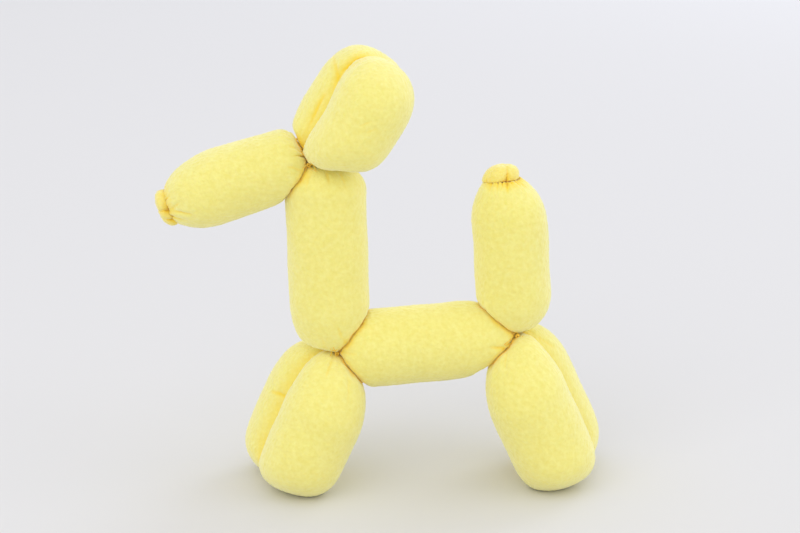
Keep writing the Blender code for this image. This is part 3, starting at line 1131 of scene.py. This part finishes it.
def build_knot(name, place, length, knot, seed, pleats, power, droop, lean):
    """A ruffle: a cap that rises from its rim to its top and closes below, cut by pleats at named
    turns, in degrees.

    With the angle a from -90 at the lower middle to +90 at the top, its radius is cos a and its
    height sin a to a power below one, which squares its shoulder. Each pleat has its own share of
    the full depth. The rim droops by a bell curve of the turn, and the top leans to one side."""
    origin, axes = place
    middle = origin + axes[0] * knot["offset"] + axes[2] * length
    rings = int(PROFILE_STRETCH * np.pi * KNOT_RADIUS / KNOT_SPACING / 2)
    sides = int(2 * np.pi * KNOT_RADIUS / KNOT_SPACING)
    turns = np.linspace(0, 2 * np.pi, sides, endpoint=False)
    v, t = np.meshgrid(np.linspace(-1, 1, rings), turns, indexing="ij")
    a = v * np.pi / 2
    rim = np.cos(a) ** power
    rise = np.sign(v) * np.abs(np.sin(a)) ** power
    bulge = BULGE * np.sin(3 * t + seed) + BULGE * np.sin(2 * t + 2 * seed)
    valley = np.zeros(t.shape)
    for turn, share in pleats:
        off = np.abs(shortest(t - np.radians(turn) - PLEAT_LEAN * v))
        valley = np.maximum(valley, share * np.exp(-off / PLEAT_WIDTH))
    tip = rim**3 * bell(shortest(t - np.radians(droop[0])) / TIP_WIDTH)
    across = rim * (1 - PLEAT_DEPTH * rim * valley) * (KNOT_WIDTH + bulge + TIP_REACH * tip)
    tall = np.where(v > 0, knot["top"] - knot["rim"], knot["rim"] - knot["bottom"])
    crown = PLEAT_SINK * valley * rim + CROWN_SINK * bell(rim / CROWN_WIDTH)
    height = knot["rim"] + tall * rise - droop[1] * tip - crown * (v > 0)
    x = KNOT_RADIUS * across * np.cos(t) + lean * np.clip(rise, 0, 1)
    grid = middle + np.stack([x, KNOT_DEPTH * across * np.sin(t), height], axis=-1) @ axes
    nap = KNOT_NAP_HEIGHT * waves(grid, KNOT_NAP, seed + 1)
    grid = grid + outward(grid) * nap[..., None]
    # Painted shade: deeper in the pleats and on the underside, and a little all over.
    fold = np.clip(valley * rim * PLEAT_TINT - UNDER_TINT * v * rim + KNOT_TINT, 0, 1)
    finished[name] = grid
    return placed(name + "_cloth", grid, fold, knot_fleece_painted_bounce, name)


nose_pleats = [(266, 1), (222, 1), (165, 0.8), (90, 0.8), (20, 0.8)]
tail_pleats = [(283, 1), (350, 0.5), (60, 0.8), (130, 0.8), (212, 0.35)]
nose_form = {"pleats": nose_pleats, "power": 0.75, "droop": (200, 1.8 * MM), "lean": 0}
tail_form = {"pleats": tail_pleats, "power": 0.85, "droop": (183, 1.4 * MM), "lean": 1.5 * MM}
build_knot("nose_knot", snout_place, SNOUT_LENGTH, NOSE_KNOT, seed=80, **nose_form)
build_knot("tail_knot", tail_place, TAIL_LENGTH, TAIL_KNOT, seed=90, **tail_form)

# %% [markdown]
# ## Thread
# Golden ochre thread closes the toy. A doubled thread lies in every crease where two tubes are sewn
# together, in the notch between their pressed faces. Around the joints a few stitches and tied ends
# show. A curve with a round bevel could draw them, but it wouldn't show the plies. Here a thread is
# a chain of points with a small ring of vertices around each. Two plies wound around each other
# make the ring a little oval, and the oval turns along the thread.

# %% Thread material
def sewing_thread():
    """Spun polyester thread: matt ochre, with painted shade in the groove between its two plies,
    which its fold attribute keeps. It gives the eye a fine warm line in the pale cloth."""
    material, tree = blank("spun_polyester_thread")
    groove = add(tree, "ShaderNodeAttribute", attribute_name="fold").outputs["Fac"]
    tone = add(
        tree,
        "ShaderNodeMix",
        {"Factor": groove, "A": linear("#FFDA58"), "B": linear("#EEBC3C")},
        data_type="RGBA",
    )
    finish = {"Roughness": 0.75, "IOR": 1.45, "Specular IOR Level": 0.3}
    finish["Base Color"] = tone.outputs["Result"]
    shader = add(tree, "ShaderNodeBsdfPrincipled", finish)
    add(tree, "ShaderNodeOutputMaterial", {"Surface": shader.outputs["BSDF"]})
    return material


ochre_thread = sewing_thread()

# %% Sweep a thread along points
THREAD_RADIUS = 0.3 * MM
THREAD_STEP = 0.8 * MM
THREAD_SIDES = 8
PLY_PITCH = 2.4 * MM
PLY_GROOVE = 0.3
CURVE_STEPS = 12
MIN_POINTS = 4


def run_along(points):
    """How far each point lies from the first one, along the line through them."""
    return summed(np.linalg.norm(np.diff(points, axis=0), axis=1))


def resampled(points, closed=False):
    """Points at even steps on smooth curves through the given ones."""
    count = len(points) * CURVE_STEPS if closed else (len(points) - 1) * CURVE_STEPS + 1
    curve = smoothly(points, np.arange(count) / CURVE_STEPS, "wrap" if closed else "clip")
    if closed:
        curve = np.concatenate([curve, curve[:1]])
    run = run_along(curve)
    count = max(MIN_POINTS, int(run[-1] / THREAD_STEP))
    wanted = np.linspace(0, run[-1], count, endpoint=not closed)
    return np.stack([np.interp(wanted, run, curve[:, k]) for k in range(3)], axis=-1)


def thread_rings(points, reference, radius, closed=False):
    """Rings of vertices around a thread, and the height of its plies: 1 in the groove between them,
    which is 0.5 less half the cosine of twice the ring's angle less the plies' own turn."""
    if closed:
        along = unit(np.roll(points, -1, axis=0) - np.roll(points, 1, axis=0))
    else:
        along = unit(np.gradient(points, axis=0))
    side = unit(np.cross(along, reference))
    up = np.cross(side, along)
    angle = np.linspace(0, 2 * np.pi, THREAD_SIDES, endpoint=False)
    twist = 2 * np.pi * run_along(points) / PLY_PITCH
    groove = 0.5 - 0.5 * np.cos(2 * angle[None, :] - twist[:, None])
    reach = radius * (1 - PLY_GROOVE * groove)[..., None]
    cosine, sine = np.cos(angle)[None, :, None], np.sin(angle)[None, :, None]
    return points[:, None] + (side[:, None] * cosine + up[:, None] * sine) * reach, groove


def thread_piece(name, threads):
    """One mesh of several threads, each a set of rings with its groove and whether it is a closed
    loop. An open one gets a face at each end."""
    rows, tones, faces = [], [], []
    start = 0
    for rings, groove, closed in threads:
        count, sides = rings.shape[:2]
        index = start + np.arange(count * sides).reshape(count, sides)
        here = index if closed else index[:-1]
        after = np.roll(index, -1, axis=0) if closed else index[1:]
        corners = [here, np.roll(here, -1, axis=1), np.roll(after, -1, axis=1), after]
        faces += np.stack(corners, axis=-1).reshape(-1, 4).tolist()
        if not closed:
            faces += [index[0, ::-1].tolist(), index[-1].tolist()]
        rows.append(rings.reshape(-1, 3))
        tones.append(groove.ravel())
        start += count * sides
    mesh = bpy.data.meshes.new(name)
    mesh.from_pydata(np.concatenate(rows).tolist(), [], faces)
    mesh.shade_smooth()
    piece = on_toy(mesh, np.concatenate(tones), ochre_thread)
    print(name, len(threads), "threads,", sum(len(face) - 2 for face in faces), "triangles")
    return piece


# %% Thread in a crease
CONTACT = 0.5 * MM
JOINT_DEPTH = 2 * MM
NOTCH_BINS = 48
LOOP_RADIUS = 0.33 * MM
LOOP_LIFT = 0.45 * MM
LOOP_SINK = 1.2 * MM
LOOP_STRAY = 0.25 * MM
LOOP_WAVES = 7
# Painted shade by each crease thread, warmed as by bounce light:
GLOW_TINT = 0.6
GLOW_REACH = 3.1 * MM
GLOW_SPAN = 3 * GLOW_REACH


def points_of(*names):
    """All points of finished pieces."""
    return np.concatenate([finished[name].reshape(-1, 3) for name in names])


def glow(name, thread):
    """Paints shade along a thread: the cloth's fold attribute deepens by a bell curve of the
    distance to it, for a deeper, warmer yellow by the crease."""
    tones = bpy.data.objects[name + "_cloth"].data.attributes["fold"].data
    values = np.empty(len(tones), np.float32)
    tones.foreach_get("value", values)
    rows = vertex_rows(finished[name])
    low, high = thread.min(axis=0) - GLOW_SPAN, thread.max(axis=0) + GLOW_SPAN
    near = np.flatnonzero(((rows > low) & (rows < high)).all(axis=1))
    far = np.full(len(near), np.inf)
    for point in thread:
        far = np.minimum(far, np.linalg.norm(rows[near] - point, axis=1))
    values[near] = np.minimum(1, values[near] + GLOW_TINT * bell(far / GLOW_REACH))
    tones.foreach_set("value", values)


def crease_loop(joint, angle, first, second):
    """The loop around the faces that two tubes press on each other: at each turn around the middle
    of the faces, the smaller of the two reaches, in the plane of the crease. It stands out of the
    notch at the toy's sides, and sinks in where the crease ends."""
    along, across = direction(angle), direction(angle + 90)
    flats = []
    for name in (first, second):
        rows = points_of(name)
        offset = rows - joint
        touching = np.abs(offset @ across - ripple(rows)) < CONTACT
        offset = offset[touching & (offset @ along > -JOINT_DEPTH)]
        flats.append(np.stack([offset @ along, offset[:, 1]], axis=-1))
    middle = min(flat[:, 0].max() for flat in flats) / 2
    reaches = []
    for flat in flats:
        turn = np.arctan2(flat[:, 1], flat[:, 0] - middle)
        bins = ((turn + np.pi) / (2 * np.pi) * NOTCH_BINS).astype(int) % NOTCH_BINS
        reaches.append(np.zeros(NOTCH_BINS))
        np.maximum.at(reaches[-1], bins, np.hypot(flat[:, 1], flat[:, 0] - middle))
    reach = np.minimum(*reaches)
    print(first, "on", second, "reach", *np.round([reach.min() / MM, reach.max() / MM], 1), "mm")
    turns = np.linspace(-np.pi, np.pi, NOTCH_BINS, endpoint=False) + np.pi / NOTCH_BINS
    reach = (np.roll(reach, 1) + 2 * reach + np.roll(reach, -1)) / 4
    reach = reach + LOOP_LIFT - (LOOP_LIFT + LOOP_SINK) * np.clip(np.cos(turns), 0, 1) ** 2
    reach = reach + LOOP_STRAY * np.sin(LOOP_WAVES * turns + angle)
    sideways = np.outer(reach * np.sin(turns), [0, 1, 0])
    loop = joint + np.outer(middle + reach * np.cos(turns), along) + sideways
    points = resampled(loop + ripple(loop)[:, None] * across, closed=True)
    glow(first, points)
    glow(second, points)
    return *thread_rings(points, across, LOOP_RADIUS, closed=True), True


# %% Stitches on the cloth
LIFT = 0.15 * MM
NEAR_PX = 1.3
SLACK_PX = 0.3


def on_cloth(line, pieces, side):
    """Points of the photograph dropped on the cloth: for each, the vertex nearest to the eye within
    a pixel or so, lifted a little. With side 1 the line goes on the far side of the toy instead, as
    its mirror image."""
    rows = points_of(*pieces)
    mirror = np.array([1, 1 - 2 * side, 1])
    seen, depth = seen_at(rows * mirror)
    points = []
    for place in np.array(line, float):
        off = np.hypot(*(seen - place).T)
        near = off < max(NEAR_PX, off.min() + SLACK_PX)
        best = rows[near][np.argmin(depth[near])]
        points.append((best * mirror - FORWARD * LIFT) * mirror)
    return np.array(points)


def stitches(lines, pieces):
    """Threads along lines of the photograph, on the near side and, mirrored, on the far side."""
    drops = [on_cloth(line, pieces, side) for side in (0, 1) for line in lines]
    return [(*thread_rings(resampled(drop), FORWARD, THREAD_RADIUS), False) for drop in drops]


# %% Tied ends
TIE_TURNS = 6
TIE_POINTS = 12
TIE_RADIUS = 1.2 * MM
TIE_LEAN = np.radians(55)
TIE_PLACE = 3 * MM
TIE_QUANTILE = 0.97


def tied(joint, pieces):
    """A small ball of wound thread on each side of a joint, where its creases meet: great circles
    of a ball, whose own axis leans by TIE_LEAN and goes once around while they are wound."""
    rows = points_of(*pieces) - joint
    rows = rows[np.hypot(rows[:, 0], rows[:, 2]) < TIE_PLACE]
    wound = np.linspace(0, 1, TIE_TURNS * TIE_POINTS)
    a, b = 2 * np.pi * TIE_TURNS * wound, 2 * np.pi * wound
    lean = np.full(a.shape, np.cos(TIE_LEAN))
    axis = np.stack([np.sin(TIE_LEAN) * np.cos(b), lean, np.sin(TIE_LEAN) * np.sin(b)], axis=-1)
    u = unit(np.cross(axis, [0, 1, 0]))
    ball = TIE_RADIUS * (np.cos(a)[:, None] * u + np.sin(a)[:, None] * np.cross(axis, u))
    made = []
    for side in (-1, 1):
        reach = np.quantile(rows[:, 1] * side, TIE_QUANTILE) - TIE_RADIUS / 2
        points = joint + np.array([0, side * reach, 0]) + ball
        made.append((*thread_rings(points, axis, THREAD_RADIUS), False))
    return made


# %% Sew the joints
def sewn(name, joint, creases, stitch_lines):
    """All the thread of one joint: a loop in each crease, a tied end on each side, and stitches."""
    pieces = sorted({piece for _, *pair in creases for piece in pair})
    loops = [crease_loop(joint, *crease) for crease in creases]
    return thread_piece(name, loops + tied(joint, pieces) + stitches(stitch_lines, pieces))


HEAD_STITCHES = [
    [(308.5, 162.5), (312, 165.5), (316, 169)],
    [(306.5, 164.5), (311, 168), (317, 171)],
    [(304.5, 168.5), (309, 165), (313, 162.5)],
]
CHEST_STITCHES = [
    [(330, 350), (334, 352), (338, 350)],
    [(333, 348), (335.5, 351.5), (336, 355.5)],
    [(332, 352), (330.5, 355)],
]
RUMP_STITCHES = [
    [(514, 335), (517, 333), (520.5, 335)],
    [(515.5, 336.5), (518.5, 334.5), (522.5, 335.5)],
    [(515, 336.5), (510, 341), (505, 345.5)],
    [(516.5, 337.5), (511.5, 342), (506.5, 346)],
]
head_creases = [(120, "snout", "ears"), (234, "snout", "neck"), (357, "ears", "neck")]
chest_creases = [(51, "neck", "body"), (165, "neck", "front_legs"), (309, "body", "front_legs")]
rump_creases = [(4, "tail", "hind_legs"), (141, "tail", "body"), (224, "body", "hind_legs")]
sewn("head_thread", HEAD_JOINT, head_creases, HEAD_STITCHES)
sewn("chest_thread", CHEST_JOINT, chest_creases, CHEST_STITCHES)
sewn("rump_thread", RUMP_JOINT, rump_creases, RUMP_STITCHES)

# %% Tie the knots
SEAM_BINS = 24
SEAM_PLACE = 0.82
SEAM_BAND = 0.06


def knot_seam(tube, place, length, knot):
    """The loop of thread that ties a ruffle: it lies on the tube's end, just under its rim."""
    origin, axes = place
    local = from_knot(points_of(tube), place, length, knot["offset"])
    x, y = local[:, 0] / KNOT_RADIUS, local[:, 1] / KNOT_DEPTH
    near = (np.abs(np.hypot(x, y) - SEAM_PLACE) < SEAM_BAND) & (local[:, 2] > -length / 2)
    bins = ((np.arctan2(y, x)[near] / (2 * np.pi)) % 1 * SEAM_BINS).astype(int)
    count = np.bincount(bins, minlength=SEAM_BINS)
    height = np.bincount(bins, local[near, 2], SEAM_BINS) / np.maximum(count, 1) + THREAD_RADIUS / 2
    turn = (np.arange(SEAM_BINS) + 0.5) * 2 * np.pi / SEAM_BINS
    x = knot["offset"] + SEAM_PLACE * KNOT_RADIUS * np.cos(turn)
    y = SEAM_PLACE * KNOT_DEPTH * np.sin(turn)
    loop = origin + np.stack([x, y, length + height], axis=-1) @ axes
    points = resampled(loop, closed=True)
    return *thread_rings(points, axes[2], THREAD_RADIUS, closed=True), True


nose_seam = knot_seam("snout", snout_place, SNOUT_LENGTH, NOSE_KNOT)
tail_seam = knot_seam("tail", tail_place, TAIL_LENGTH, TAIL_KNOT)
thread_piece("knot_thread", [nose_seam, tail_seam])

# %% [markdown]
# ## Floor and light
# The toy stands on a plain pale floor in soft daylight. A wide area light in front on the left is
# the window. A weaker one on the right lifts the shadows, one behind brightens the floor there, and
# a pale world stands for the room. A picture of a sky could light the toy as well, but the place and
# strength of an area light can be set one by one.

# %% Floor
FLOOR_HALF = 7


def white_board():
    """Matt white board: it gives the eye a plain pale ground, with a soft shadow and no shine."""
    material, tree = blank("matt_white_board")
    finish = {"Base Color": linear("#DCDBDA"), "Roughness": 0.9, "Specular IOR Level": 0.2}
    shader = add(tree, "ShaderNodeBsdfPrincipled", finish)
    add(tree, "ShaderNodeOutputMaterial", {"Surface": shader.outputs["BSDF"]})
    return material


floor_mesh = bpy.data.meshes.new("floor")
corners = [(x * FLOOR_HALF, y * FLOOR_HALF, 0) for x, y in ((-1, -1), (1, -1), (1, 1), (-1, 1))]
floor_mesh.from_pydata(corners, [], [(0, 1, 2, 3)])
floor_mesh.materials.append(white_board())
floor = bpy.data.objects.new("floor", floor_mesh)
bpy.context.scene.collection.objects.link(floor)

# %% Light
TOY_MIDDLE = (0, 0, 0.14)
BACKGROUND = (3.5, 4.5, 0)


def soft_light(name, place, aim, size, power, colour):
    """A square area light that faces its aim."""
    data = bpy.data.lights.new(name, "AREA")
    data.shape = "SQUARE"
    data.size = size
    data.energy = power
    data.color = linear(colour)[:3]
    light = bpy.data.objects.new(name, data)
    light.location = place
    back = np.array(place, float) - np.array(aim, float)
    turn = np.arctan2(back[1], back[0])
    light.rotation_euler = (0, np.arccos(back[2] / np.linalg.norm(back)), turn)
    bpy.context.scene.collection.objects.link(light)
    return light


soft_light("window", (-2.2, -3.9, 3.4), TOY_MIDDLE, size=5.0, power=80, colour="#FFFFFF")
soft_light("room_side", (5.0, -1.5, 2.4), TOY_MIDDLE, size=4.0, power=42, colour="#F4F7FF")
soft_light("room_back", (4.5, 4.5, 3.0), BACKGROUND, size=4.0, power=140, colour="#DFE8FF")

world = bpy.data.worlds.new("pale_room")
world.use_nodes = True
sky = world.node_tree.nodes["Background"]
sky.inputs["Color"].default_value = linear("#F8F8FB")
sky.inputs["Strength"].default_value = 0.96
bpy.context.scene.world = world
bpy.context.scene.view_settings.view_transform = "Standard"
